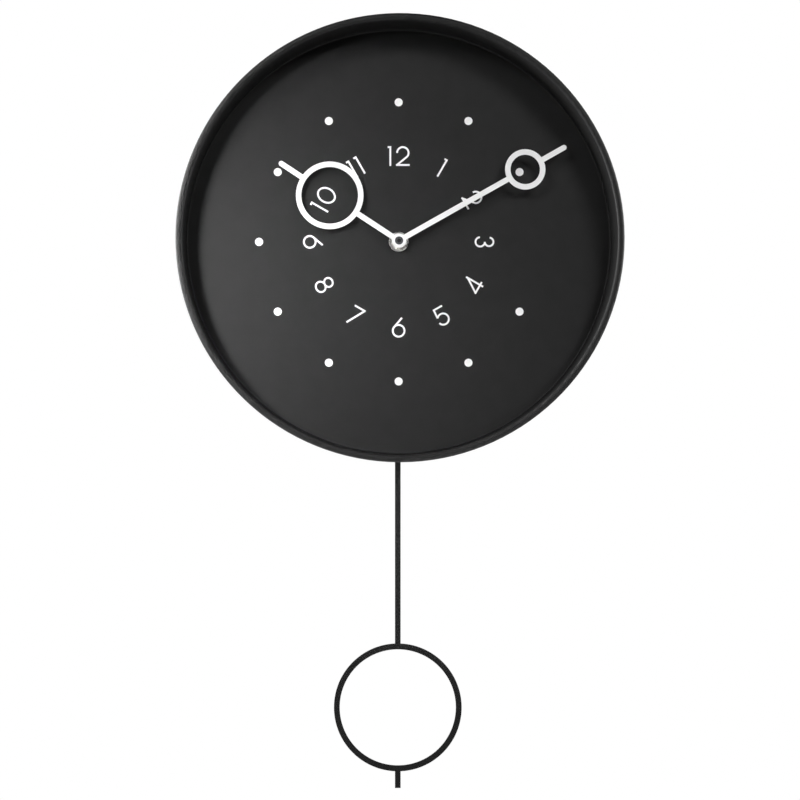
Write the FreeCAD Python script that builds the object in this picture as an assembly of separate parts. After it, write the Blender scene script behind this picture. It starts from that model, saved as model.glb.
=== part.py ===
import FreeCAD, Part
import os
from math import asin, atan2, cos, hypot, pi, radians, sin, sqrt

# A round wall clock with a deep metal case, two white ring hands, printed dial marks
# and a ring pendulum, all driven by a quartz movement behind the dial.
# Millimetres. +X is to the right, +Y goes into the wall, +Z is up: the clock faces -Y.
# The origin is the keyhole's round hole, in the plane of the wall.

Vec = FreeCAD.Vector

# --- Case -------------------------------------------------------------------
case_radius = 175.0
recess_depth = 36.0  # from the front of the rim to the dial
rim_width = 5.6
rim_round = 2.6
sheet = 0.8
dial_bend = 1.5  # inside radius where the dial turns up into the wall
rim_return = 3.0  # how far the pan's rim is turned back outside
rear_flange = 9.0
rear_bend = 1.2

# --- Hanging ----------------------------------------------------------------
keyhole_inset = 29.0  # round hole's centre inside the case's edge
keyhole_radius = 4.5
shank_radius = 2.2
shank_rise = 11.0
hanger_sheet = 1.4
hanger_width = 44.0
hanger_drop = 11.0  # plate below the round hole
rivet_radius = 1.5
rivet_head = 2.8
rivet_head_height = 0.5
rivet_spacing = 30.0
bumper_height = 2.0  # holds the case's rear flange off the wall
bumper_radius = 3.4

# --- Dial marks -------------------------------------------------------------
ink = 0.2
dot_radius = 3.2
dot_inset = 58.0  # from the recess wall to the dots' circle
numeral_circle = 68.5
digit_height = 15.7
digit_stroke = 1.45
digit_gap = 3.8

# --- Hands ------------------------------------------------------------------
hand_sheet = 0.8
hand_width = 4.2
hand_boss = 5.6
minute_tip_gap = 17.6  # from the minute hand's tip to the recess wall
minute_tip_length = 37.2  # from its ring's centre to its tip
minute_ring_radius = 15.95
minute_ring_hole = 11.65
minute_angle = 60.6  # clockwise from twelve, at rest
hour_ring_at = 65.8
hour_tip_length = 48.0
hour_ring_radius = 26.8
hour_ring_hole = 22.5
hour_angle = -56.7
hand_gap = 2.4  # between the two hands
collet_inset = 0.3  # the minute collet's face, below its hand's
collet_reach = 0.8  # behind the minute hand

# --- Centre shafts ----------------------------------------------------------
running = 0.05  # radial clearance of every turning fit
arbor_radius = 1.6
pipe_wall = 1.25
bush_wall = 2.0
bush_flange_radius = 7.5
bush_flange = 0.8
bush_above_nut = 1.6
nut_across_flats = 14.0
nut_corner = 7.5  # radius that the nut's corners are turned down to
nut_chamfer = 1.0
nut_height = 3.0
washer_radius = 7.8
washer_height = 0.6
pad_radius = 13.0
pad_height = 1.0
collet_wall = 1.7
end_gap = 0.2  # between the bush and the hour collet

# --- Movement housing -------------------------------------------------------
housing_wall = 1.5
side_room = 0.95  # beside the innermost pieces
end_room = 0.6  # above the battery bay and below the drive coil
screw_radius = 1.2
screw_head = 2.2
screw_head_height = 0.8
screw_length = 7.5
screw_boss = 2.5
boss_sunk = 0.5  # how far a boss reaches into the bay's wall
screw_inset = 3.4

# --- Gears ------------------------------------------------------------------
addendum = 0.75
dedendum = 1.0
tip_share = 0.22  # of the pitch, half of it either side of the tooth
root_share = 0.42
pivot_radius = 0.5
pivot_depth = 0.9  # how far a pivot goes into a plate
pivot_end_gap = 0.2
shoulder_gap = 0.3  # between a stem's shoulder and the plate
stem_radius = 0.65
motion_module = 0.5
cannon_teeth = 12
minute_wheel_teeth = 36
minute_pinion_teeth = 10
hour_wheel_teeth = 40
setting_teeth = 12
centre_wheel_gap = 1.2025  # between the centre wheel and the minute wheel's stem
third_pinion_teeth = 8
centre_wheel_teeth = 60
fine_module = 0.25
seconds_pinion_teeth = 8
third_wheel_teeth = 64
inter_pinion_teeth = 10
seconds_wheel_teeth = 50
rotor_pinion_teeth = 8
inter_wheel_teeth = 48
wheel_face = 0.8
pinion_over = 0.1  # a pinion is longer than its wheel by this at each end
layer_gap = 0.5
hour_wheel_gap = 0.4  # between the bush's flange and the hour wheel
friction_sheet = 0.25
friction_radius = 3.2
knob_radius = 6.0
knob_height = 3.6
knob_flutes = 12
flute_radius = 1.1
knob_gap = 0.4  # between the knob and the rear plate

# --- Motor and electronics --------------------------------------------------
rotor_radius = 3.0
rotor_gap = 0.4
stator_gap = 0.7  # between the stator and the rear plate
stator_edge = 1.2  # iron beside the rotor's hole
leg_width = 3.0
coil_side_gap = 0.6
coil_below = 7.2  # below the rotor's axis
core_height = 3.0
lamination = 1.0
coil_length = 13.0
coil_height = 5.2
coil_depth = 3.8
board_width = 23.0
board_height = 15.0
board_sheet = 1.0
chip_size = 6.0
chip_height = 1.0
crystal_radius = 1.0
crystal_length = 6.0
drive_coil_radius = 8.0
drive_coil_hole = 2.5
drive_coil_depth = 8.0
drive_coil_below = 36.0
battery_radius = 7.1
battery_length = 49.0
battery_nub_radius = 2.75
battery_nub = 1.0
contact_sheet = 0.4
contact_spring = 1.6
bay_clearance = 0.1
battery_proud = 0.6  # the cell stands out of the open bay by this
bay_wheel_gap = 0.55  # between the widest wheel on the hand axis and the bay's wall

# --- Pendulum ---------------------------------------------------------------
pivot_above = 16.0  # above the hand axis
pin_radius = 1.3
arm_sheet = 2.0
arm_width = 6.0
arm_hub = 4.5
arm_gap = 0.8  # between the movement and the arm
magnet_radius = 5.0
magnet_depth = 2.4
magnet_wall = 1.2
peg_radius = 1.5
peg_below = 47.0
eye_radius = 3.4
rod_width = 4.5
rod_sheet = 1.2
clip_radius = 3.0
clip_sheet = 0.6
clip_gap = 0.3
bob_below = 375.0  # ring centre below the hand axis
bob_radius = 51.7
bob_hole = 47.05
tail_length = 13.5
swing = 7.0  # degrees each way
slot_clearance = 2.5
slot_depth = 7.0
wall_gap = 7.0  # between the pendulum and the wall

# --- Worked-out places ------------------------------------------------------
housing_depth = housing_wall + bay_clearance + 2 * battery_radius - battery_proud
pendulum_depth = arm_gap + arm_sheet + rod_sheet + wall_gap
case_depth = recess_depth + sheet + pad_height + housing_depth + pendulum_depth
hand_z = keyhole_inset - case_radius
front_y = -case_depth
dial_y = front_y + recess_depth
dial_rear_y = dial_y + sheet
flange_y = -bumper_height
recess_radius = case_radius - rim_width
movement_y = dial_rear_y + pad_height
movement_rear_y = movement_y + housing_depth
inner_front_y = movement_y + housing_wall
inner_rear_y = movement_rear_y - housing_wall
washer_y = dial_y - washer_height
nut_y = washer_y - nut_height
bush_y = nut_y - bush_above_nut
pipe_bore = arbor_radius + running
pipe_radius = pipe_bore + pipe_wall
bush_bore = pipe_radius + running
bush_radius = bush_bore + bush_wall
hour_collet_y = bush_y - end_gap
hour_hand_y = hour_collet_y - hand_gap
minute_hand_y = hour_hand_y - hand_sheet - hand_gap
arm_y = movement_rear_y + arm_gap
rod_y = arm_y + arm_sheet
dot_circle = recess_radius - dot_inset
minute_tip = recess_radius - minute_tip_gap
minute_ring_at = minute_tip - minute_tip_length
hour_tip = hour_ring_at + hour_tip_length
tail_end_below = bob_below + bob_radius + tail_length


# --- Helpers ----------------------------------------------------------------
def above(height):
    """Z of a level given above the hand axis."""
    return hand_z + height


def rod_along_y(x, z, low, high, radius, hole=0.0):
    """A round bar or tube along Y, between y = low and y = high."""
    solid = Part.makeCylinder(radius, high - low, Vec(x, low, z), Vec(0, 1, 0))
    if hole:
        bore = Part.makeCylinder(hole, high - low + 2, Vec(x, low - 1, z), Vec(0, 1, 0))
        solid = solid.cut(bore)
    return solid


def block(x, y, z):
    """A box from three (low, high) pairs."""
    size = (x[1] - x[0], y[1] - y[0], z[1] - z[0])
    return Part.makeBox(*size, Vec(x[0], y[0], z[0]))


def plate(outline, low, high):
    """A flat plate between y = low and y = high, from (x, z) corners."""
    corners = [Vec(x, low, z) for x, z in outline]
    face = Part.Face(Part.makePolygon(corners + corners[:1]))
    return face.extrude(Vec(0, high - low, 0))


def turned(profile):
    """A ring turned about the hand axis from (radius, y) points and bends.

    A point with a third number is a corner rounded to that radius.
    """
    edges = []
    count = len(profile)
    starts, ends = [], []
    for i, corner in enumerate(profile):
        here = Vec(corner[0], corner[1], 0)
        if len(corner) == 2:
            starts.append(here)
            ends.append(here)
            continue
        before = Vec(*profile[i - 1][:2], 0) - here
        after = Vec(*profile[(i + 1) % count][:2], 0) - here
        half = before.getAngle(after) / 2
        radius = corner[2]
        back = radius / abs(sin(half) / cos(half))
        before.normalize()
        after.normalize()
        first, last = here + before * back, here + after * back
        middle = (before + after).normalize()
        top = here + middle * (radius / sin(half) - radius)
        edges.append(Part.Arc(first, top, last).toShape())
        starts.append(first)
        ends.append(last)
    for i in range(count):
        a, b = ends[i], starts[(i + 1) % count]
        if a.distanceToPoint(b) > 1e-6:
            edges.append(Part.makeLine(a, b))
    face = Part.Face(Part.Wire(Part.__sortEdges__(edges)))
    solid = face.revolve(Vec(0, 0, 0), Vec(0, 1, 0), 360)
    solid.translate(Vec(0, 0, hand_z))
    return solid


def at_clock(radius, angle):
    """(x, z) at a radius from the hand axis, at degrees clockwise from twelve."""
    return radius * sin(radians(angle)), above(radius * cos(radians(angle)))


def save(shape, node):
    """Write a node, after joining faces that lie in one surface."""
    if not shape.isValid():
        raise ValueError(f"{node} isn't a valid shape")
    shape.exportStep(f"parts/{node}.step")


# --- Case -------------------------------------------------------------------
def dial_pan():
    """Dial, recess wall and rounded rim, drawn from one sheet."""
    outer = case_radius
    wall = recess_radius
    back = front_y + rim_return
    return turned(
        [
            (bush_radius, dial_y),
            (wall, dial_y, dial_bend),
            (wall, front_y, rim_round),
            (outer, front_y, rim_round),
            (outer, back),
            (outer - sheet, back),
            (outer - sheet, front_y + sheet, rim_round - sheet),
            (wall + sheet, front_y + sheet, rim_round - sheet),
            (wall + sheet, dial_rear_y, dial_bend + sheet),
            (bush_radius, dial_rear_y),
        ]
    )


def case_hoop():
    """Outer wall, welded to the pan's rim, with a flange turned in at the rear."""
    outer = case_radius
    start = front_y + rim_return
    hoop = turned(
        [
            (outer - sheet, start),
            (outer, start),
            (outer, flange_y, rear_bend + sheet),
            (outer - rear_flange, flange_y),
            (outer - rear_flange, flange_y - sheet),
            (outer - sheet, flange_y - sheet, rear_bend),
        ]
    )
    for x, z in rivet_places():
        hoop = hoop.cut(rod_along_y(x, z, flange_y - 5, flange_y + 1, rivet_radius))
    return hoop.cut(pendulum_slot())


def slot_half_width():
    """Half the slot's length, so that the rod clears it at the end of its swing."""
    reach = case_radius + pivot_above
    return reach * sin(radians(swing)) + rod_width / 2 + slot_clearance


def pendulum_slot():
    """The round-ended slot under the case that the pendulum hangs through."""
    half = slot_half_width()
    middle = rod_y + rod_sheet / 2
    end = slot_depth / 2
    low = above(-case_radius - 5)
    high = above(-case_radius * 0.9)
    cut = block((-half + end, half - end), (middle - end, middle + end), (low, high))
    for side in (-1, 1):
        centre = Vec(side * (half - end), middle, low)
        cut = cut.fuse(Part.makeCylinder(end, high - low, centre))
    return cut.removeSplitter()


def hanger_plate():
    """The riveted steel plate with the keyhole that the clock hangs by."""
    half = hanger_width / 2
    top = above(sqrt((case_radius - rear_bend - sheet - 1) ** 2 - half**2))
    body = block((-half, half), (flange_y, flange_y + hanger_sheet), (-hanger_drop, top))
    upright = [e for e in body.Edges if abs(e.Vertexes[0].Y - e.Vertexes[-1].Y) > 1]
    body = body.makeFillet(3.0, upright)
    low, high = flange_y - 1, flange_y + hanger_sheet + 1
    hole = rod_along_y(0, 0, low, high, keyhole_radius)
    hole = hole.fuse(block((-shank_radius, shank_radius), (low, high), (0, shank_rise)))
    hole = hole.fuse(rod_along_y(0, shank_rise, low, high, shank_radius))
    for x, z in rivet_places():
        hole = hole.fuse(rod_along_y(x, z, low, high, rivet_radius))
    return body.cut(hole)


def rivet_places():
    """(x, z) of each rivet, in the middle of the rear flange."""
    radius = case_radius - rear_flange / 2 - rear_bend / 2
    x = rivet_spacing / 2
    return [(side * x, above(sqrt(radius**2 - x**2))) for side in (-1, 1)]


def hanger_rivets():
    """Domed rivets that hold the hanger plate to the flange."""
    head = rivet_head_height
    front = flange_y - sheet
    rear = flange_y + hanger_sheet
    rivets = []
    for x, z in rivet_places():
        rivet = rod_along_y(x, z, front - head, front, rivet_head)
        rivet = rivet.fuse(rod_along_y(x, z, front, rear, rivet_radius))
        rivet = rivet.fuse(rod_along_y(x, z, rear, rear + head, rivet_head))
        rivets.append(rivet)
    return Part.makeCompound(rivets)


def wall_bumpers():
    """Soft pads on the rear flange that rest on the wall."""
    radius = case_radius - rear_flange / 2 - rear_bend / 2
    pads = []
    for angle in (45, 135, 225, 315):
        x, z = at_clock(radius, angle)
        pad = rod_along_y(x, z, flange_y, 0, bumper_radius)
        rear = [e for e in pad.Edges if e.BoundBox.YMin > -1e-6]
        pads.append(pad.makeFillet(bumper_height / 3, rear))
    return Part.makeCompound(pads)


# --- Dial marks -------------------------------------------------------------
def hour_dots():
    """Round dots, one an hour except at three."""
    dots = []
    for hour in range(1, 13):
        if hour == 3:
            continue
        x, z = at_clock(dot_circle, 30 * hour)
        dots.append(rod_along_y(x, z, dial_y - ink, dial_y, dot_radius))
    return Part.makeCompound(dots)


# A digit is drawn in (u, v), right and up from its centre, with pen strokes.
pen = digit_stroke
top = digit_height / 2


def bar(u0, v0, u1, v1):
    """A straight pen stroke with square ends."""
    along = Vec(u1 - u0, v1 - v0, 0).normalize()
    across = Vec(-along.y, along.x, 0) * (pen / 2)
    a, b = Vec(u0, v0, 0), Vec(u1, v1, 0)
    corners = [a + across, b + across, b - across, a - across]
    return Part.Face(Part.makePolygon(corners + corners[:1]))


def bow(u, v, radius, start, end):
    """A pen stroke along a circle, anticlockwise from start to end degrees."""
    centre = Vec(u, v, 0)
    lines = []
    rings = []
    for r in (radius, radius - pen):
        circle = Part.Circle(centre, Vec(0, 0, 1), r)
        rings.append(Part.Arc(circle, radians(start), radians(end)).toShape())
    for angle in (start, end):
        out = Vec(cos(radians(angle)), sin(radians(angle)), 0)
        lines.append(Part.makeLine(centre + out * radius, centre + out * (radius - pen)))
    return Part.Face(Part.Wire(Part.__sortEdges__(rings + lines)))


def loop(u, v, wide, high):
    """A closed oval pen stroke, wide and high to its outside."""
    faces = []
    for inset in (0, pen):
        across, up = wide / 2 - inset, high / 2 - inset
        if abs(across - up) < 1e-6:
            edge = Part.Circle(Vec(0, 0, 0), Vec(0, 0, 1), up).toShape()
        else:
            edge = Part.Ellipse(Vec(0, 0, 0), max(across, up), min(across, up)).toShape()
        if up > across:
            edge.rotate(Vec(0, 0, 0), Vec(0, 0, 1), 90)
        edge.translate(Vec(u, v, 0))
        faces.append(Part.Face(Part.Wire([edge])))
    return faces[0].cut(faces[1])


def digit_0():
    return 12.5, [loop(0, 0, 12.5, digit_height)]


def digit_1():
    edge = top - pen / 2
    return 2.9, [bar(0.7, -top, 0.7, top), bar(-1.4, edge, 0.7, edge)]


def digit_2():
    r = 5.3
    centre = top - r
    middle = r - pen / 2
    end_u, end_v = middle * cos(radians(-40)), centre + middle * sin(radians(-40))
    base = -top + pen / 2
    strokes = [bow(0, centre, r, -40, 180), bar(end_u, end_v, -4.7, base)]
    return 10.9, strokes + [bar(-5.4, base, 5.4, base)]


def digit_3():
    upper = 4.15
    lower = (digit_height + pen) / 2 - upper
    strokes = [bow(0, top - upper, upper, -90, 172), bow(0, lower - top, lower, -176, 90)]
    return 9.0, strokes


def digit_4():
    stem, left, bar_v = 2.7, -5.35, -0.32 * digit_height
    strokes = [bar(stem, -top, stem, top), bar(left, bar_v, -left, bar_v)]
    return 10.7, strokes + [bar(stem, top - pen, left + pen / 2, bar_v)]


def digit_5():
    r = 5.2
    centre = r - top
    middle = r - pen / 2
    start_u = middle * cos(radians(143))
    start_v = centre + middle * sin(radians(143))
    edge = top - pen / 2
    strokes = [bow(0, centre, r, -163, 143), bar(start_u, start_v, -3.0, top)]
    return 10.4, strokes + [bar(-3.5, edge, 4.5, edge)]


def digit_6():
    r = 5.4
    centre = r - top
    middle = r - pen / 2
    end_u, end_v = 2.6, top
    far = hypot(end_u, end_v - centre)
    turn = atan2(end_v - centre, end_u) + pi / 2 - asin(middle / far)
    foot_u, foot_v = middle * cos(turn), centre + middle * sin(turn)
    return 10.8, [loop(0, centre, 2 * r, 2 * r), bar(foot_u, foot_v, end_u, end_v)]


def digit_7():
    edge = top - pen / 2
    return 9.8, [bar(-4.9, edge, 4.9, edge), bar(4.2, edge, -4.0, -top)]


def digit_8():
    upper = 8.1
    lower = digit_height + pen - upper
    strokes = [loop(0, top - upper / 2, 8.8, upper)]
    return 9.9, strokes + [loop(0, lower / 2 - top, 9.9, lower)]


def digit_9():
    width, strokes = digit_6()
    for stroke in strokes:
        stroke.rotate(Vec(0, 0, 0), Vec(0, 0, 1), 180)
    return width, strokes


digits = {
    "0": digit_0,
    "1": digit_1,
    "2": digit_2,
    "3": digit_3,
    "4": digit_4,
    "5": digit_5,
    "6": digit_6,
    "7": digit_7,
    "8": digit_8,
    "9": digit_9,
}


def numeral(hour):
    """The solids of one hour's number, standing on the dial."""
    drawn = [digits[c]() for c in str(hour)]
    across = sum(width for width, _ in drawn) + digit_gap * (len(drawn) - 1)
    start = -across / 2
    solids = []
    for width, strokes in drawn:
        shape = strokes[0].extrude(Vec(0, 0, ink))
        for stroke in strokes[1:]:
            shape = shape.fuse(stroke.extrude(Vec(0, 0, ink)))
        shape = shape.removeSplitter()
        shape.translate(Vec(start + width / 2, 0, 0))
        solids += shape.Solids
        start += width + digit_gap
    return solids


def numerals():
    """Hour numbers that read from below on the right and from above elsewhere."""
    solids = []
    for hour in range(1, 13):
        angle = 30 * hour
        tilt = angle if hour <= 3 else angle - 180 if hour <= 8 else angle - 360
        x, z = at_clock(numeral_circle, angle)
        for solid in numeral(hour):
            # stands the drawing up, so that v is up and its thickness is towards -Y
            solid.rotate(Vec(0, 0, 0), Vec(1, 0, 0), 90)
            solid.rotate(Vec(0, 0, 0), Vec(0, 1, 0), tilt)
            solid.translate(Vec(x, dial_y, z))
            solids.append(solid)
    return Part.makeCompound(solids)


# --- Hands ------------------------------------------------------------------
def hand(rear, ring_at, ring_radius, ring_hole, tip, hole, angle):
    """A flat bar with a boss, an open ring and a rounded tip, turned to its time."""
    front = rear - hand_sheet
    half = hand_width / 2
    shape = rod_along_y(0, hand_z, front, rear, hand_boss)
    shape = shape.fuse(block((-half, half), (front, rear), (hand_z, above(tip - half))))
    shape = shape.fuse(rod_along_y(0, above(tip - half), front, rear, half))
    shape = shape.fuse(rod_along_y(0, above(ring_at), front, rear, ring_radius))
    shape = shape.cut(rod_along_y(0, above(ring_at), front - 1, rear + 1, ring_hole))
    shape = shape.cut(rod_along_y(0, hand_z, front - 1, rear + 1, hole))
    shape = shape.removeSplitter()
    shape.rotate(Vec(0, 0, hand_z), Vec(0, 1, 0), angle)
    return shape


def minute_hand():
    hole = arbor_radius + collet_wall
    ring = (minute_ring_at, minute_ring_radius, minute_ring_hole)
    return hand(minute_hand_y, *ring, minute_tip, hole, minute_angle)


def hour_hand():
    hole = pipe_radius + collet_wall
    ring = (hour_ring_at, hour_ring_radius, hour_ring_hole)
    return hand(hour_hand_y, *ring, hour_tip, hole, hour_angle)


def minute_collet():
    """The bush in the minute hand's boss, set just below its face."""
    front = minute_hand_y - hand_sheet + collet_inset
    rear = minute_hand_y + collet_reach
    return rod_along_y(0, hand_z, front, rear, arbor_radius + collet_wall, arbor_radius)


def hour_collet():
    """The bush in the hour hand's boss."""
    front = hour_hand_y - hand_sheet
    return rod_along_y(0, hand_z, front, hour_collet_y, pipe_radius + collet_wall, pipe_radius)


# --- Gears ------------------------------------------------------------------
def gear_outline(teeth, module, phase):
    """(a, b) corners of a gear with straight-sided teeth, about its own centre."""
    pitch_radius = module * teeth / 2
    tip, root = pitch_radius + addendum * module, pitch_radius - dedendum * module
    half_tip = tip_share * pi * module / 2 / tip
    half_root = root_share * pi * module / 2 / root
    corners = []
    for tooth in range(teeth):
        middle = phase + tooth * 2 * pi / teeth
        for radius, turn in (
            (root, -half_root),
            (tip, -half_tip),
            (tip, half_tip),
            (root, half_root),
        ):
            corners.append((radius * cos(middle + turn), radius * sin(middle + turn)))
    return corners


def gear(place, teeth, module, phase, low, high):
    """A gear about (x, z) = place, between y = low and y = high."""
    x, z = place
    outline = [(x + a, z + b) for a, b in gear_outline(teeth, module, phase)]
    return plate(outline, low, high)


def mesh_phase(teeth, phase, mate_teeth, direction):
    """The phase that puts a mate's tooth in the gap that faces it."""
    offset = (phase - direction) * teeth / (2 * pi)
    return direction + pi - (offset + 0.5) * 2 * pi / mate_teeth


def spacing(teeth, mate_teeth, module):
    """The distance between two meshing gears' centres."""
    return (teeth + mate_teeth) * module / 2


def step_to(place, distance, direction):
    """The (x, z) a distance away in a direction in radians, anticlockwise from +X."""
    return place[0] + distance * cos(direction), place[1] + distance * sin(direction)


# Layers of wheels, from the front plate to the rear plate
layer_pitch = wheel_face + 2 * pinion_over + layer_gap
hour_layer = inner_front_y + bush_flange + hour_wheel_gap


def layer(number):
    """(low, high) of the wheels in a layer, 0 being the hour wheel's."""
    low = hour_layer + number * layer_pitch
    return low, low + wheel_face


def pinion_layer(number):
    """(low, high) of the pinions that drive a layer's wheels."""
    low, high = layer(number)
    return low - pinion_over, high + pinion_over


centre_at = (0.0, hand_z)
to_minute_wheel = radians(135)
to_setting = radians(180)
to_third = radians(225)
to_seconds = radians(160)
to_inter = radians(250)
to_rotor = radians(300)

motion_spacing = spacing(cannon_teeth, minute_wheel_teeth, motion_module)
pipe_module = 2 * motion_spacing / (minute_pinion_teeth + hour_wheel_teeth)
centre_wheel_reach = motion_spacing - stem_radius - centre_wheel_gap
drive_module = centre_wheel_reach / (centre_wheel_teeth / 2 + addendum)
minute_wheel_at = step_to(centre_at, motion_spacing, to_minute_wheel)
setting_at = step_to(
    minute_wheel_at, spacing(setting_teeth, minute_wheel_teeth, motion_module), to_setting
)
third_at = step_to(
    centre_at, spacing(third_pinion_teeth, centre_wheel_teeth, drive_module), to_third
)
seconds_at = step_to(
    third_at, spacing(seconds_pinion_teeth, third_wheel_teeth, fine_module), to_seconds
)
inter_at = step_to(
    seconds_at, spacing(inter_pinion_teeth, seconds_wheel_teeth, fine_module), to_inter
)
rotor_at = step_to(
    inter_at, spacing(rotor_pinion_teeth, inter_wheel_teeth, fine_module), to_rotor
)

minute_wheel_phase = mesh_phase(cannon_teeth, 0, minute_wheel_teeth, to_minute_wheel)
hour_phase = mesh_phase(minute_pinion_teeth, 0, hour_wheel_teeth, to_minute_wheel + pi)
setting_phase = mesh_phase(minute_wheel_teeth, minute_wheel_phase, setting_teeth, to_setting)
third_pinion_phase = mesh_phase(centre_wheel_teeth, 0, third_pinion_teeth, to_third)
seconds_pinion_phase = mesh_phase(third_wheel_teeth, 0, seconds_pinion_teeth, to_seconds)
inter_pinion_phase = mesh_phase(seconds_wheel_teeth, 0, inter_pinion_teeth, to_inter)
rotor_phase = mesh_phase(inter_wheel_teeth, 0, rotor_pinion_teeth, to_rotor)


def stem(place):
    """A wheel's stem and its two pivots, which turn in the housing's plates."""
    x, z = place
    low, high = inner_front_y + shoulder_gap, inner_rear_y - shoulder_gap
    shape = rod_along_y(x, z, low, high, stem_radius)
    low, high = inner_front_y - pivot_depth, inner_rear_y + pivot_depth
    return shape.fuse(rod_along_y(x, z, low, high, pivot_radius))


def minute_arbor():
    """The centre shaft, with the cannon pinion that drives the motion work."""
    front = minute_hand_y - hand_sheet + 2 * collet_inset
    shoulder = inner_rear_y - shoulder_gap
    shaft = rod_along_y(0, hand_z, front, shoulder, arbor_radius)
    pivot_end = inner_rear_y + pivot_depth
    shaft = shaft.fuse(rod_along_y(0, hand_z, shoulder, pivot_end, pivot_radius))
    cannon = gear(centre_at, cannon_teeth, motion_module, 0, *pinion_layer(1))
    return shaft.fuse(cannon)


def hour_wheel():
    """The hour wheel and the pipe that carries the hour hand."""
    low, high = layer(0)
    wheel = gear(centre_at, hour_wheel_teeth, pipe_module, hour_phase, low, high)
    pipe = rod_along_y(0, hand_z, hour_hand_y - hand_sheet, low, pipe_radius)
    shape = wheel.fuse(pipe)
    return shape.cut(rod_along_y(0, hand_z, hour_hand_y - 5, high + 1, pipe_bore))


def minute_wheel():
    """The idler between the cannon pinion and the hour wheel."""
    wheel = gear(
        minute_wheel_at, minute_wheel_teeth, motion_module, minute_wheel_phase, *layer(1)
    )
    pinion = gear(minute_wheel_at, minute_pinion_teeth, pipe_module, 0, *pinion_layer(0))
    return stem(minute_wheel_at).fuse(wheel).fuse(pinion)


shaft_end = movement_rear_y + knob_gap + knob_height / 2


def setting_shaft():
    """The shaft from the setting pinion out through the rear plate to the knob."""
    x, z = setting_at
    shoulder = inner_front_y + shoulder_gap
    shape = rod_along_y(x, z, inner_front_y - pivot_depth, shoulder, pivot_radius)
    shape = shape.fuse(rod_along_y(x, z, shoulder, shaft_end, arbor_radius))
    pinion = gear(setting_at, setting_teeth, motion_module, setting_phase, *pinion_layer(1))
    return shape.fuse(pinion)


def setting_knob():
    """The fluted knob that sets the hands from behind."""
    x, z = setting_at
    low = movement_rear_y + knob_gap
    high = low + knob_height
    shape = rod_along_y(x, z, low, high, knob_radius)
    for i in range(knob_flutes):
        angle = 2 * pi * i / knob_flutes
        flute = step_to(setting_at, knob_radius + flute_radius / 2, angle)
        shape = shape.cut(rod_along_y(*flute, low - 1, high + 1, flute_radius))
    return shape.cut(rod_along_y(x, z, low - 1, shaft_end, arbor_radius))


def centre_wheel():
    """The wheel that drives the centre shaft through its friction spring."""
    wheel = gear(centre_at, centre_wheel_teeth, drive_module, 0, *layer(2))
    return wheel.cut(rod_along_y(0, hand_z, *pinion_layer(2), pipe_bore))


def friction_spring():
    """A thin spring washer on the centre shaft that presses on the centre wheel."""
    low = layer(2)[1] + running
    return rod_along_y(0, hand_z, low, low + friction_sheet, friction_radius, arbor_radius)


def third_wheel():
    wheel = gear(third_at, third_wheel_teeth, fine_module, 0, *layer(3))
    pinion_y = pinion_layer(2)
    pinion = gear(third_at, third_pinion_teeth, drive_module, third_pinion_phase, *pinion_y)
    return stem(third_at).fuse(wheel).fuse(pinion)


def seconds_wheel():
    wheel = gear(seconds_at, seconds_wheel_teeth, fine_module, 0, *layer(4))
    pinion_y = pinion_layer(3)
    phase = seconds_pinion_phase
    pinion = gear(seconds_at, seconds_pinion_teeth, fine_module, phase, *pinion_y)
    return stem(seconds_at).fuse(wheel).fuse(pinion)


def intermediate_wheel():
    wheel = gear(inter_at, inter_wheel_teeth, fine_module, 0, *layer(5))
    pinion_y = pinion_layer(4)
    pinion = gear(inter_at, inter_pinion_teeth, fine_module, inter_pinion_phase, *pinion_y)
    return stem(inter_at).fuse(wheel).fuse(pinion)


stator_high = inner_rear_y - stator_gap
stator_low = stator_high - lamination


def rotor_pinion():
    """The rotor's stem and pinion."""
    pinion_y = pinion_layer(5)
    pinion = gear(rotor_at, rotor_pinion_teeth, fine_module, rotor_phase, *pinion_y)
    return stem(rotor_at).fuse(pinion)


def rotor_magnet():
    """The round magnet on the rotor's stem, inside the stator's hole."""
    x, z = rotor_at
    return rod_along_y(x, z, stator_low - 0.1, stator_high + 0.2, rotor_radius, stem_radius)


# --- Movement housing -------------------------------------------------------
coil_x = rotor_at[0]
coil_z = rotor_at[1] - coil_below
core_half = coil_length / 2 + coil_side_gap + leg_width
hour_wheel_reach = pipe_module * (hour_wheel_teeth / 2 + addendum)
bay_left = max(centre_wheel_reach, hour_wheel_reach) + bay_wheel_gap + housing_wall
battery_x = bay_left + bay_clearance + battery_radius
battery_y = inner_front_y + bay_clearance + battery_radius
bay_right = battery_x + battery_radius + bay_clearance
bay_half = (battery_length + contact_spring) / 2 + contact_sheet + 2 * bay_clearance
setting_reach = motion_module * (setting_teeth / 2 + addendum) - setting_at[0]
left_reach = max(setting_reach, core_half - coil_x)
housing_left = -(left_reach + side_room + housing_wall)
housing_right = bay_right + housing_wall
housing_top = bay_half + end_room + housing_wall
housing_bottom = -(drive_coil_below + drive_coil_radius + end_room + housing_wall)
wheel_places = (minute_wheel_at, third_at, seconds_at, inter_at, rotor_at)


def screw_places():
    """(x, z) of the four screws that close the housing."""
    left, right = housing_left + screw_inset, housing_right - screw_inset
    high = above(housing_top - screw_inset)
    low = above(housing_bottom + screw_inset)
    beside_bay = bay_left - housing_wall - (screw_boss - boss_sunk)
    return [(left, high), (beside_bay, high), (left, low), (right, low)]


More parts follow.
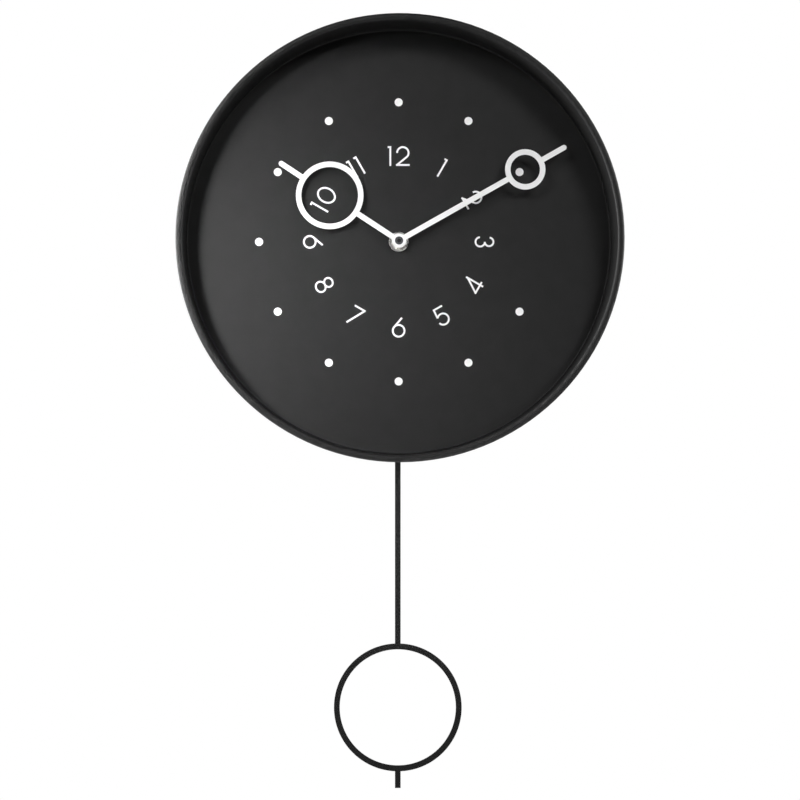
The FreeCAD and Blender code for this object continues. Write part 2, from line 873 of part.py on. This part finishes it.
def movement_front_housing():
    """The box that carries the wheels' front pivots and the battery bay."""
    outer = (housing_left, housing_right)
    tall = (above(housing_bottom), above(housing_top))
    body = block(outer, (movement_y, inner_rear_y), tall)
    inside = (housing_left + housing_wall, housing_right - housing_wall)
    inner_tall = (tall[0] + housing_wall, tall[1] - housing_wall)
    body = body.cut(block(inside, (inner_front_y, inner_rear_y + 1), inner_tall))
    bay = block(
        (bay_left - housing_wall, bay_right),
        (inner_front_y, inner_rear_y),
        (above(-bay_half - housing_wall), tall[1] - housing_wall),
    )
    hollow = block(
        (bay_left, bay_right),
        (inner_front_y, inner_rear_y + 1),
        (above(-bay_half), above(bay_half)),
    )
    body = body.fuse(bay).cut(hollow)
    for x, z in screw_places():
        body = body.fuse(rod_along_y(x, z, inner_front_y, inner_rear_y, screw_boss))
    for x, z in screw_places():
        depth = inner_rear_y - (screw_length - housing_wall)
        body = body.cut(rod_along_y(x, z, depth, inner_rear_y + 1, screw_radius))
    front_bottom = inner_front_y - pivot_depth - pivot_end_gap
    for x, z in (*wheel_places, setting_at):
        body = body.cut(
            rod_along_y(x, z, front_bottom, inner_front_y + 1, pivot_radius + running)
        )
    body = body.cut(rod_along_y(0, hand_z, movement_y - 1, inner_front_y + 1, bush_radius))
    return body.removeSplitter()


def movement_rear_housing():
    """The rear plate, open over the battery, with a boss for the pendulum's pin."""
    outer = (housing_left, housing_right)
    tall = (above(housing_bottom), above(housing_top))
    body = block(outer, (inner_rear_y, movement_rear_y), tall)
    reach = (inner_rear_y - 1, movement_rear_y + 1)
    body = body.cut(block((bay_left, bay_right), reach, (above(-bay_half), above(bay_half))))
    z = above(pivot_above)
    body = body.fuse(rod_along_y(0, z, inner_rear_y, arm_y - 0.2, arm_hub - 1))
    body = body.cut(rod_along_y(0, z, inner_rear_y - 1, arm_y + 1, pin_radius))
    for x, z in screw_places():
        body = body.cut(rod_along_y(x, z, *reach, screw_radius))
    for x, z in (*wheel_places, centre_at):
        low, high = inner_rear_y - 1, inner_rear_y + pivot_depth + pivot_end_gap
        body = body.cut(rod_along_y(x, z, low, high, pivot_radius + running))
    body = body.cut(rod_along_y(*setting_at, *reach, arbor_radius + running))
    return body.removeSplitter()


def housing_screws():
    """Pan-head screws that close the housing from behind."""
    screws = []
    for x, z in screw_places():
        tip = inner_rear_y - (screw_length - housing_wall)
        screw = rod_along_y(x, z, tip, movement_rear_y, screw_radius)
        high = movement_rear_y + screw_head_height
        head = rod_along_y(x, z, movement_rear_y, high, screw_head)
        slot = block((x - 0.3, x + 0.3), (high - 0.4, high + 1), (z - 3, z + 3))
        screws.append(screw.fuse(head).cut(slot))
    return Part.makeCompound(screws)


def threaded_bush():
    """The bush that clamps the movement through the dial."""
    shape = rod_along_y(0, hand_z, bush_y, inner_front_y, bush_radius)
    flange = rod_along_y(
        0, hand_z, inner_front_y, inner_front_y + bush_flange, bush_flange_radius
    )
    shape = shape.fuse(flange)
    return shape.cut(rod_along_y(0, hand_z, bush_y - 1, inner_front_y + 2, bush_bore))


def bush_nut():
    """The hexagon nut in front of the dial, chamfered all round."""
    corner = nut_across_flats / 2 / cos(pi / 6)
    outline = [step_to(centre_at, corner, pi / 6 + i * pi / 3) for i in range(6)]
    nut = plate(outline, nut_y, washer_y)
    cone = turned(
        [
            (0.0, nut_y),
            (nut_corner - nut_chamfer, nut_y),
            (nut_corner, nut_y + nut_chamfer),
            (nut_corner, washer_y),
            (0.0, washer_y),
        ]
    )
    nut = nut.common(cone)
    return nut.cut(rod_along_y(0, hand_z, nut_y - 1, washer_y + 1, bush_radius))


def bush_washer():
    return rod_along_y(0, hand_z, washer_y, dial_y, washer_radius, bush_radius)


def movement_pad():
    """The rubber ring between the movement and the back of the dial."""
    return rod_along_y(0, hand_z, dial_rear_y, movement_y, pad_radius, bush_radius)


# --- Motor and electronics --------------------------------------------------


def motor_stator():
    """Flat iron plate around the rotor, with two legs down to the coil's core."""
    x, z = rotor_at
    top_edge = z + rotor_radius + stator_edge
    web_low = coil_z + coil_height / 2 + coil_side_gap / 2
    web = (x - core_half, x + core_half)
    shape = block(web, (stator_low, stator_high), (web_low, top_edge))
    for side in (-1, 1):
        inner = x + side * (coil_length / 2 + coil_side_gap)
        outer = x + side * core_half
        leg = (min(inner, outer), max(inner, outer))
        low_z = coil_z - core_height / 2
        shape = shape.fuse(block(leg, (stator_low, stator_high), (low_z, web_low)))
    hole = rod_along_y(x, z, stator_low - 1, stator_high + 1, rotor_radius + rotor_gap)
    return shape.cut(hole).removeSplitter()


def coil_core():
    """The iron bar through the motor coil, against the stator's legs."""
    half = core_height / 2
    span = (coil_x - core_half, coil_x + core_half)
    return block(span, (stator_low - lamination, stator_low), (coil_z - half, coil_z + half))


def motor_coil():
    """The wound coil around the core."""
    half = coil_length / 2
    middle = stator_low - lamination / 2
    tall = (coil_z - coil_height / 2, coil_z + coil_height / 2)
    deep = (middle - coil_depth / 2, middle + coil_depth / 2)
    body = block((coil_x - half, coil_x + half), deep, tall)
    along = [e for e in body.Edges if e.BoundBox.XLength > coil_length - 1e-6]
    return body.makeFillet(1.2, along).cut(coil_core())


board_left = housing_left + housing_wall + bay_clearance
board_low = above(housing_bottom) + housing_wall + bay_clearance
board_face = inner_front_y + board_sheet


def circuit_board():
    """The board on the front plate's inside, clear of the screw boss in its corner."""
    wide = (board_left, board_left + board_width)
    tall = (board_low, board_low + board_height)
    body = block(wide, (inner_front_y, board_face), tall)
    x, z = screw_places()[2]
    notch = rod_along_y(x, z, inner_front_y - 1, board_face + 1, screw_boss + 0.2)
    corner = block((x - 5, x), (inner_front_y - 1, board_face + 1), (z - 5, z + screw_boss))
    lower = block((x, x + screw_boss), (inner_front_y - 1, board_face + 1), (z - 5, z))
    return body.cut(notch).cut(corner).cut(lower)


def timing_chip():
    x, z = board_left + 8.0, board_low + 5.0
    span = (x, x + chip_size), (board_face, board_face + chip_height), (z, z + chip_size)
    return block(*span)


def quartz_crystal():
    """The crystal's can, lying on the board."""
    start = Vec(board_left + 16.0, board_face + crystal_radius, board_low + 7.0)
    can = Part.makeCylinder(crystal_radius, crystal_length, start, Vec(1, 0, 0))
    return can


def drive_coil():
    """The coil behind the rear plate's inside that keeps the pendulum swinging."""
    z = above(-drive_coil_below)
    low = inner_rear_y - drive_coil_depth
    return rod_along_y(0, z, low, inner_rear_y, drive_coil_radius, drive_coil_hole)


def drive_core():
    z = above(-drive_coil_below)
    low = inner_rear_y - drive_coil_depth
    return rod_along_y(0, z, low, inner_rear_y, drive_coil_hole)


battery_low = -battery_length / 2 + contact_spring / 2


def battery():
    """A round cell, standing beside the wheels."""
    foot = Vec(battery_x, battery_y, above(battery_low))
    body_length = battery_length - battery_nub
    body = Part.makeCylinder(battery_radius, body_length, foot)
    nub_foot = foot + Vec(0, 0, body_length)
    return body.fuse(Part.makeCylinder(battery_nub_radius, battery_nub, nub_foot))


def contact(low):
    """A flat contact across the bay, from a level above the hand axis."""
    half = battery_radius * 0.7
    deep = (inner_front_y, inner_rear_y - 0.4)
    wide = (battery_x - half, battery_x + half)
    return block(wide, deep, (above(low), above(low + contact_sheet)))


def positive_contact():
    return contact(battery_low + battery_length)


def negative_contact():
    """The contact with the cone spring that pushes the cell up."""
    low = battery_low - contact_spring - contact_sheet
    foot = Vec(battery_x, battery_y, above(low + contact_sheet))
    spring = Part.makeCone(4.5, 3.0, contact_spring, foot)
    return contact(low).fuse(spring)


# --- Pendulum ---------------------------------------------------------------
def swing_arm():
    """The moulded arm that carries the magnet and the peg for the rod."""
    z = above(pivot_above)
    foot = above(-peg_below)
    half = arm_width / 2
    shape = block((-half, half), (arm_y, rod_y), (foot, z))
    shape = shape.fuse(rod_along_y(0, z, arm_y, rod_y, arm_hub))
    shape = shape.fuse(rod_along_y(0, foot, arm_y, rod_y, half))
    seat = above(-drive_coil_below)
    shape = shape.fuse(rod_along_y(0, seat, arm_y, rod_y, magnet_radius + magnet_wall))
    shape = shape.fuse(rod_along_y(0, foot, rod_y, rod_y + rod_sheet + 0.8, peg_radius))
    shape = shape.cut(rod_along_y(0, seat, arm_y - 1, rod_y + 1, magnet_radius))
    return shape.cut(rod_along_y(0, z, arm_y - 1, rod_y + 1, pin_radius + running))


def drive_magnet():
    z = above(-drive_coil_below)
    return rod_along_y(0, z, rod_y - magnet_depth, rod_y, magnet_radius)


def pivot_pin():
    """The steel pin that the pendulum's arm swings on."""
    end = rod_y + clip_gap + clip_sheet + 0.5
    return rod_along_y(0, above(pivot_above), inner_rear_y, end, pin_radius)


def pivot_clip():
    low = rod_y + clip_gap
    return rod_along_y(0, above(pivot_above), low, low + clip_sheet, clip_radius, pin_radius)


def pendulum_rod():
    """A flat strip from its eye on the arm down to the ring."""
    half = rod_width / 2
    span = (rod_y, rod_y + rod_sheet)
    shape = block((-half, half), span, (above(-bob_below + bob_hole), above(-peg_below)))
    shape = shape.fuse(rod_along_y(0, above(-peg_below), *span, eye_radius))
    shape = shape.cut(rod_along_y(0, above(-bob_below), rod_y - 1, rod_y + 3, bob_radius))
    return shape.cut(rod_along_y(0, above(-peg_below), rod_y - 1, rod_y + 3, peg_radius))


def pendulum_ring():
    """The open flat ring."""
    span = (rod_y, rod_y + rod_sheet)
    return rod_along_y(0, above(-bob_below), *span, bob_radius, bob_hole)


def pendulum_tail():
    """The short square-ended strip below the ring."""
    half = rod_width / 2
    span = (rod_y, rod_y + rod_sheet)
    tall = (above(-tail_end_below), above(-bob_below - bob_hole))
    shape = block((-half, half), span, tall)
    return shape.cut(rod_along_y(0, above(-bob_below), rod_y - 1, rod_y + 3, bob_radius))


nodes = (
    dial_pan,
    case_hoop,
    hanger_plate,
    hanger_rivets,
    wall_bumpers,
    hour_dots,
    numerals,
    minute_hand,
    minute_collet,
    minute_arbor,
    friction_spring,
    hour_hand,
    hour_collet,
    hour_wheel,
    minute_wheel,
    setting_shaft,
    setting_knob,
    centre_wheel,
    third_wheel,
    seconds_wheel,
    intermediate_wheel,
    rotor_pinion,
    rotor_magnet,
    movement_front_housing,
    movement_rear_housing,
    housing_screws,
    threaded_bush,
    bush_nut,
    bush_washer,
    movement_pad,
    motor_stator,
    coil_core,
    motor_coil,
    circuit_board,
    timing_chip,
    quartz_crystal,
    drive_coil,
    drive_core,
    battery,
    positive_contact,
    negative_contact,
    pivot_pin,
    pivot_clip,
    swing_arm,
    drive_magnet,
    pendulum_rod,
    pendulum_ring,
    pendulum_tail,
)

os.makedirs("parts", exist_ok=True)
for make in nodes:
    save(make(), make.__name__)
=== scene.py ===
from math import pi

import bpy
from mathutils import Euler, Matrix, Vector


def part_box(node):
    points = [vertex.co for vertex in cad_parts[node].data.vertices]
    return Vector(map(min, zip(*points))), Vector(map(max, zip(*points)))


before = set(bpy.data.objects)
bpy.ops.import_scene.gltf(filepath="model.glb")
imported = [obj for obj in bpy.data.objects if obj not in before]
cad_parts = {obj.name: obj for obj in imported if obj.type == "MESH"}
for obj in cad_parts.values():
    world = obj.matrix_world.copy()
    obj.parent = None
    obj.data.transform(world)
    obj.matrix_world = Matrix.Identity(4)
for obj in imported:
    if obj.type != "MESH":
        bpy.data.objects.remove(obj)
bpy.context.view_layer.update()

# Everything is in metres, in the clock's own frame: +X right, +Y into the wall, +Z up.
MM = 0.001

# A wave texture at scale 1 turns through this many radians in each metre.
WAVE_TURNS = 20


# --- Node helpers -----------------------------------------------------------
class Finish:
    """A material under construction, with its Principled shader and its object coordinates."""

    def __init__(self, name, **constants):
        self.material = bpy.data.materials.new(name)
        self.material.use_nodes = True
        self.tree = self.material.node_tree
        self.shader = self.tree.nodes["Principled BSDF"]
        self.place = self.add("ShaderNodeTexCoord").outputs["Object"]
        for socket, value in constants.items():
            self.shader.inputs[socket.replace("_", " ")].default_value = value

    def add(self, kind, **settings):
        node = self.tree.nodes.new(kind)
        for setting, value in settings.items():
            setattr(node, setting, value)
        return node

    def link(self, start, end):
        self.tree.links.new(start, end)

    def stretched(self, x, y, z):
        """Object coordinates scaled along each axis."""
        node = self.add("ShaderNodeMapping")
        self.link(self.place, node.inputs["Vector"])
        node.inputs["Scale"].default_value = (x, y, z)
        return node.outputs["Vector"]

    def noise(self, size, detail=3.0, rough=0.55, place=None, distortion=0.0):
        """Grey noise whose patches are about a size across, in metres."""
        node = self.add("ShaderNodeTexNoise")
        self.link(place or self.place, node.inputs["Vector"])
        node.inputs["Scale"].default_value = 1 / size
        node.inputs["Detail"].default_value = detail
        node.inputs["Roughness"].default_value = rough
        node.inputs["Distortion"].default_value = distortion
        return node.outputs["Fac"]

    def bands(self, size, axis, profile="SIN", distortion=0.0):
        """Stripes across an axis, one each size in metres."""
        node = self.add("ShaderNodeTexWave", bands_direction=axis, wave_profile=profile)
        self.link(self.place, node.inputs["Vector"])
        node.inputs["Scale"].default_value = 2 * pi / WAVE_TURNS / size
        node.inputs["Distortion"].default_value = distortion
        return node.outputs["Fac"]

    def spread(self, value, low, high, start=0.3, end=0.7):
        """Maps a grey value's start..end to low..high."""
        node = self.add("ShaderNodeMapRange")
        self.link(value, node.inputs["Value"])
        for socket, number in zip(("From Min", "From Max", "To Min", "To Max"), (start, end, low, high)):
            node.inputs[socket].default_value = number
        return node.outputs["Result"]

    def ramp(self, value, *stops):
        """A colour for each (position, (r, g, b)) stop."""
        node = self.add("ShaderNodeValToRGB")
        self.link(value, node.inputs["Fac"])
        elements = node.color_ramp.elements
        while len(elements) < len(stops):
            elements.new(0.5)
        for element, (position, colour) in zip(elements, stops):
            element.position = position
            element.color = (*colour, 1)
        return node.outputs["Color"]

    def sum(self, a, b, share=0.5):
        """a + share * b."""
        node = self.add("ShaderNodeMath", operation="MULTIPLY_ADD")
        self.link(b, node.inputs[0])
        node.inputs[1].default_value = share
        self.link(a, node.inputs[2])
        return node.outputs[0]

    def colour(self, socket):
        """Drives the base colour."""
        self.link(socket, self.shader.inputs["Base Color"])

    def rough(self, socket):
        """Drives the roughness."""
        self.link(socket, self.shader.inputs["Roughness"])

    def metal(self, socket):
        """Drives how metallic the surface is."""
        self.link(socket, self.shader.inputs["Metallic"])

    def relief(self, height, depth, strength=1.0):
        """Bump from a grey height, whose full range is a depth in metres."""
        node = self.add("ShaderNodeBump")
        self.link(height, node.inputs["Height"])
        node.inputs["Distance"].default_value = depth
        node.inputs["Strength"].default_value = strength
        self.link(node.outputs["Normal"], self.shader.inputs["Normal"])


def grey(value):
    return (value, value, value)


# --- Finishes ---------------------------------------------------------------
def powder_coat(name, dark, light, low, high, grain):
    """Satin black powder coat: fine orange peel, slightly mottled in gloss and tone."""
    made = Finish(name, Specular_IOR_Level=0.17)
    fine = made.noise(grain, 4.0, 0.6)
    broad = made.noise(14 * MM, 3.0, 0.5)
    speck = made.noise(0.25 * MM, 2.0, 0.7)
    tone = made.sum(fine, broad, 0.6)
    made.colour(made.ramp(made.spread(tone, 0, 1, 0.45, 1.1), (0.0, grey(dark)), (1.0, grey(light))))
    made.rough(made.spread(made.sum(fine, speck, 0.4), low, high, 0.4, 1.0))
    made.relief(made.sum(fine, speck, 0.35), 0.05 * MM, 0.22)
    return made.material


def white_lacquer(name):
    made = Finish(name, Specular_IOR_Level=0.5, Coat_Weight=0.25, Coat_Roughness=0.2)
    peel = made.noise(1.1 * MM, 2.0, 0.5)
    broad = made.noise(9 * MM, 3.0, 0.5)
    made.colour(made.ramp(broad, (0.3, (0.86, 0.86, 0.86)), (0.7, (0.9, 0.9, 0.895))))
    made.rough(made.spread(peel, 0.3, 0.42))
    made.relief(peel, 0.04 * MM, 0.15)
    return made.material


def printed_ink(name):
    """Screen-printed white ink, with the faint weave that the screen leaves."""
    made = Finish(name, Specular_IOR_Level=0.4)
    weave = made.sum(made.bands(0.3 * MM, "X"), made.bands(0.3 * MM, "Z"), 1.0)
    blot = made.noise(0.8 * MM, 3.0, 0.6)
    made.colour(made.ramp(blot, (0.3, grey(0.9)), (0.65, grey(0.95))))
    made.rough(made.spread(blot, 0.42, 0.6))
    made.relief(weave, 0.01 * MM, 0.3)
    return made.material


def plated_steel(name, colours, low, high, spangle, metallic=1.0):
    """Bright plated sheet: cloudy crystals and fine rolling lines."""
    made = Finish(name, Metallic=metallic)
    cloud = made.noise(spangle, 5.0, 0.6, distortion=0.6)
    rolled = made.noise(0.5 * MM, 3.0, 0.6, made.stretched(1, 1, 0.04))
    made.colour(made.ramp(cloud, (0.25, colours[0]), (0.5, colours[1]), (0.78, colours[2])))
    made.rough(made.spread(made.sum(cloud, rolled, 0.5), low, high, 0.45, 1.05))
    made.relief(made.sum(rolled, cloud, 0.3), 0.03 * MM, 0.2)
    return made.material


def bright_nickel(name):
    """Nickel plate over turned brass: fine circular tool lines and softened glints."""
    made = Finish(name, Metallic=1.0)
    cloud = made.noise(2.5 * MM, 4.0, 0.6)
    lines = made.noise(0.12 * MM, 2.0, 0.6)
    made.colour(made.ramp(cloud, (0.3, (0.6, 0.595, 0.58)), (0.7, (0.78, 0.775, 0.76))))
    made.rough(made.spread(made.sum(cloud, lines, 0.4), 0.2, 0.36, 0.4, 0.95))
    made.relief(lines, 0.01 * MM, 0.2)
    return made.material


def turned_brass(name, thread=0.0):
    """Brass with lathe lines, or with a cut thread where a pitch is given."""
    made = Finish(name, Metallic=1.0)
    cloud = made.noise(1.6 * MM, 4.0, 0.6)
    lines = made.bands(thread or 0.16 * MM, "Y", "TRI" if thread else "SIN", 0.0 if thread else 0.4)
    made.colour(
        made.ramp(made.sum(cloud, lines, 0.25), (0.3, (0.42, 0.27, 0.09)), (0.85, (0.78, 0.58, 0.26)))
    )
    made.rough(made.spread(cloud, 0.2, 0.38))
    made.relief(lines, (0.3 if thread else 0.01) * MM, 0.9 if thread else 0.4)
    return made.material


def laminated_iron(name):
    made = Finish(name, Metallic=1.0)
    sheets = made.bands(0.35 * MM, "Y")
    cloud = made.noise(1.2 * MM, 4.0, 0.65)
    made.colour(made.ramp(made.sum(cloud, sheets, 0.3), (0.3, (0.16, 0.16, 0.17)), (0.9, (0.42, 0.42, 0.44))))
    made.rough(made.spread(cloud, 0.35, 0.6))
    made.relief(sheets, 0.06 * MM, 0.5)
    return made.material


def sintered_magnet(name):
    made = Finish(name, Metallic=0.7)
    grain = made.noise(0.3 * MM, 5.0, 0.75)
    broad = made.noise(2.2 * MM, 3.0, 0.5)
    made.colour(
        made.ramp(made.sum(grain, broad, 0.5), (0.4, (0.09, 0.09, 0.095)), (0.95, (0.26, 0.26, 0.27)))
    )
    made.rough(made.spread(grain, 0.4, 0.62))
    made.relief(grain, 0.04 * MM, 0.5)
    return made.material


def wound_copper(name, axis):
    """Fine enamelled wire wound across an axis, with the odd turn crossing."""
    made = Finish(name, Metallic=0.85, Coat_Weight=0.4, Coat_Roughness=0.15)
    turns = made.bands(0.22 * MM, axis, "SIN", 0.7)
    cloud = made.noise(1.5 * MM, 3.0, 0.6)
    made.colour(made.ramp(made.sum(turns, cloud, 0.5), (0.25, (0.2, 0.05, 0.018)), (1.0, (0.68, 0.27, 0.12))))
    made.rough(made.spread(cloud, 0.25, 0.42))
    made.relief(turns, 0.11 * MM, 0.8)
    return made.material


def moulded(name, dark, light, low, high, grain, depth, soft=0.0):
    """Moulded plastic or rubber with a spark-eroded texture and faint flow marks."""
    made = Finish(name, Specular_IOR_Level=0.5, Subsurface_Weight=soft, Subsurface_Scale=1.2 * MM)
    fine = made.noise(grain, 4.0, 0.65)
    flow = made.noise(8 * MM, 3.0, 0.5, distortion=1.2)
    made.colour(made.ramp(made.sum(fine, flow, 0.7), (0.45, dark), (1.15, light)))
    made.rough(made.spread(made.sum(fine, flow, 0.4), low, high, 0.4, 1.0))
    made.relief(fine, depth, 0.5)
    return made.material


def solder_resist(name):
    """Green solder resist over copper tracks, which show as paler raised lines."""
    made = Finish(name, Specular_IOR_Level=0.5, Coat_Weight=0.5, Coat_Roughness=0.12)
    bricks = made.add("ShaderNodeTexBrick", offset=0.37, offset_frequency=2, squash=1.6)
    turn = made.add("ShaderNodeMapping")
    made.link(made.place, turn.inputs["Vector"])
    turn.inputs["Rotation"].default_value = (pi / 2, 0, 0)
    turn.inputs["Scale"].default_value = (420, 420, 420)
    made.link(turn.outputs["Vector"], bricks.inputs["Vector"])
    bricks.inputs["Color1"].default_value = (0.012, 0.11, 0.04, 1)
    bricks.inputs["Color2"].default_value = (0.02, 0.15, 0.055, 1)
    bricks.inputs["Mortar"].default_value = (0.06, 0.3, 0.12, 1)
    bricks.inputs["Mortar Size"].default_value = 0.07
    weave = made.sum(made.bands(0.4 * MM, "X"), made.bands(0.4 * MM, "Z"), 1.0)
    made.colour(bricks.outputs["Color"])
    made.rough(made.spread(made.noise(0.9 * MM), 0.2, 0.36))
    made.relief(made.sum(bricks.outputs["Fac"], weave, 0.08), 0.05 * MM, 0.6)
    return made.material


def battery_sleeve(name, low, high):
    """A plain printed sleeve: dark body, a copper-toned shoulder and bare steel ends."""
    made = Finish(name, Coat_Weight=0.3, Coat_Roughness=0.12)
    parts = made.add("ShaderNodeSeparateXYZ")
    made.link(made.place, parts.inputs["Vector"])
    along = made.spread(parts.outputs["Z"], 0.0, 1.0, low, high)
    fleck = made.noise(0.3 * MM, 3.0, 0.6)
    steel_foot, steel_top = (0.55, 0.55, 0.54), (0.6, 0.6, 0.59)
    body, shoulder = (0.03, 0.033, 0.04), (0.62, 0.3, 0.12)
    colours = (steel_foot, body, body, shoulder, shoulder, steel_top)
    metals = (grey(1), grey(0), grey(0), grey(0.8), grey(0.8), grey(1))
    edges = (0.0, 0.018, 0.7, 0.708, 0.955, 0.962)
    made.colour(made.ramp(along, *zip(edges, colours)))
    made.metal(made.ramp(along, *zip(edges, metals)))
    made.rough(made.spread(fleck, 0.24, 0.36))
    made.relief(fleck, 0.01 * MM, 0.3)
    return made.material


battery_low, battery_high = (corner.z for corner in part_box("battery"))
finishes = {
    "case_black": powder_coat("case_black", 0.009, 0.0155, 0.44, 0.57, 0.7 * MM),
    "pendulum_black": powder_coat("pendulum_black", 0.009, 0.0155, 0.42, 0.54, 0.6 * MM),
    "hand_white": white_lacquer("hand_white"),
    "white_ink": printed_ink("white_ink"),
    "zinc_steel": plated_steel(
        "zinc_steel", ((0.36, 0.375, 0.41), (0.48, 0.49, 0.505), (0.58, 0.57, 0.55)), 0.34, 0.56, 4 * MM
    ),
    "spring_steel": plated_steel(
        "spring_steel", ((0.36, 0.37, 0.4), (0.48, 0.48, 0.5), (0.58, 0.58, 0.59)), 0.2, 0.36, 2 * MM
    ),
    "dark_steel": plated_steel(
        "dark_steel",
        ((0.035, 0.036, 0.042), (0.055, 0.055, 0.06), (0.09, 0.088, 0.085)),
        0.3, 0.5, 2 * MM, 0.8,
    ),
    "nickel": bright_nickel("nickel"),
    "brass": turned_brass("brass"),
    "iron": laminated_iron("iron"),
    "magnet": sintered_magnet("magnet"),
    "copper": wound_copper("copper", "X"),
    "gear_plastic": moulded(
        "gear_plastic", (0.76, 0.74, 0.68), (0.88, 0.87, 0.83), 0.3, 0.44, 0.5 * MM, 0.02 * MM, 0.15
    ),
    "black_plastic": moulded(
        "black_plastic", (0.016, 0.016, 0.017), (0.034, 0.034, 0.035), 0.4, 0.58, 0.35 * MM, 0.06 * MM
    ),
    "chip_black": moulded(
        "chip_black", (0.012, 0.012, 0.012), (0.026, 0.026, 0.026), 0.35, 0.6, 0.2 * MM, 0.05 * MM
    ),
    "board_green": solder_resist("board_green"),
    "battery_wrap": battery_sleeve("battery_wrap", battery_low, battery_high),
    "black_rubber": moulded(
        "black_rubber", (0.018, 0.018, 0.018), (0.04, 0.039, 0.038), 0.62, 0.85, 0.4 * MM, 0.08 * MM
    ),
}
own = {
    "threaded_bush": turned_brass("bush_thread", 0.75 * MM),
    "drive_coil": wound_copper("drive_coil_wire", "Y"),
    # Painted shade: the minute arbor gets a near-black coat so that its end reads as the shade inside the
    # open hole of the minute hand's hub.
    "minute_arbor": powder_coat("arbor_painted_hole_shade", 0.003, 0.006, 0.5, 0.64, 0.5 * MM),
}
for name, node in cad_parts.items():
    for slot in node.material_slots:
        slot.material = own.get(name) or finishes[slot.material.name.split(".")[0]]


# --- Stage ------------------------------------------------------------------
def area_light(name, place, towards, size, height, power, spread=pi):
    """A soft light; a spread below pi narrows its beam, as a grid on a softbox does."""
    data = bpy.data.lights.new(name, "AREA")
    data.shape = "RECTANGLE"
    data.size, data.size_y = size, height
    data.energy = power
    data.spread = spread
    lamp = bpy.data.objects.new(name, data)
    bpy.context.scene.collection.objects.link(lamp)
    lamp.location = place
    lamp.rotation_euler = (Vector(towards) - Vector(place)).to_track_quat("-Z", "Y").to_euler()


def floor_sheet(level, half):
    """A plain pale floor, well below the clock."""
    corners = [(-half, -half, level), (half, -half, level), (half, half, level), (-half, half, level)]
    mesh = bpy.data.meshes.new("floor")
    mesh.from_pydata(corners, [], [(0, 1, 2, 3)])
    sheet = bpy.data.objects.new("floor", mesh)
    bpy.context.scene.collection.objects.link(sheet)
    made = Finish("floor_paint", Roughness=0.9)
    made.colour(made.ramp(made.noise(0.2, 2.0), (0.3, grey(0.92)), (0.7, grey(0.95))))
    mesh.materials.append(made.material)
    return sheet


floor_level, floor_half = -1.5, 1.2
floor_sheet(floor_level, floor_half)

dial_at = Vector((0, -0.03, -0.146))
area_light("upper_left", (-0.80, -1.40, 0.68), dial_at, 0.5, 0.42, 12.5)
area_light("upper_right", (0.72, -1.40, 0.68), dial_at, 0.5, 0.42, 11)
area_light("left_grid", (-0.6, -1.25, 0.02), (-0.19, -0.03, -0.2), 0.26, 0.3, 0.5, 0.36)
area_light("low_grid", (0.3, -1.3, -0.32), (0.04, -0.03, -0.29), 0.3, 0.3, 0.05, 0.32)
area_light("left_strip", (-1.5, -0.1, -0.05), dial_at, 0.24, 1.1, 80)
area_light("right_strip", (1.5, -0.1, -0.05), dial_at, 0.24, 1.1, 26)
area_light("rear_left", (-1.3, 1.7, 0.5), dial_at, 1.6, 1.6, 31)
area_light("rear_right", (1.5, 1.6, 0.3), dial_at, 1.6, 1.6, 31)

# The camera sees a white backdrop, but the room itself gives hardly any light.
backdrop, room_light = 1.0, 0.02
world = bpy.data.worlds.new("studio")
bpy.context.scene.world = world
world.use_nodes = True
nodes, links = world.node_tree.nodes, world.node_tree.links
nodes.clear()
seen = nodes.new("ShaderNodeBackground")
seen.inputs["Color"].default_value = (1, 1, 1, 1)
seen.inputs["Strength"].default_value = backdrop
shed = nodes.new("ShaderNodeBackground")
shed.inputs["Color"].default_value = (1, 1, 1, 1)
shed.inputs["Strength"].default_value = room_light
path = nodes.new("ShaderNodeLightPath")
both = nodes.new("ShaderNodeMixShader")
out = nodes.new("ShaderNodeOutputWorld")
links.new(path.outputs["Is Camera Ray"], both.inputs["Fac"])
links.new(shed.outputs[0], both.inputs[1])
links.new(seen.outputs[0], both.inputs[2])
links.new(both.outputs[0], out.inputs["Surface"])

scene = bpy.context.scene
scene.view_settings.view_transform = "Standard"
scene.view_settings.look = "None"

# The camera stands square to the dial, below its centre and a little to its left.
focal_length, sensor = 78.7, 36  # in millimetres
frame_shift = (0.075, 0.015)
stand_point = (-0.0468, -1.424, -0.2818)
lens = bpy.data.cameras.new("camera")
lens.lens = focal_length
lens.sensor_width = sensor
lens.shift_x, lens.shift_y = frame_shift
lens.clip_start = 0.01
camera = bpy.data.objects.new("camera", lens)
scene.collection.objects.link(camera)
camera.location = stand_point
camera.rotation_euler = Euler((pi / 2, 0, 0))
scene.camera = camera
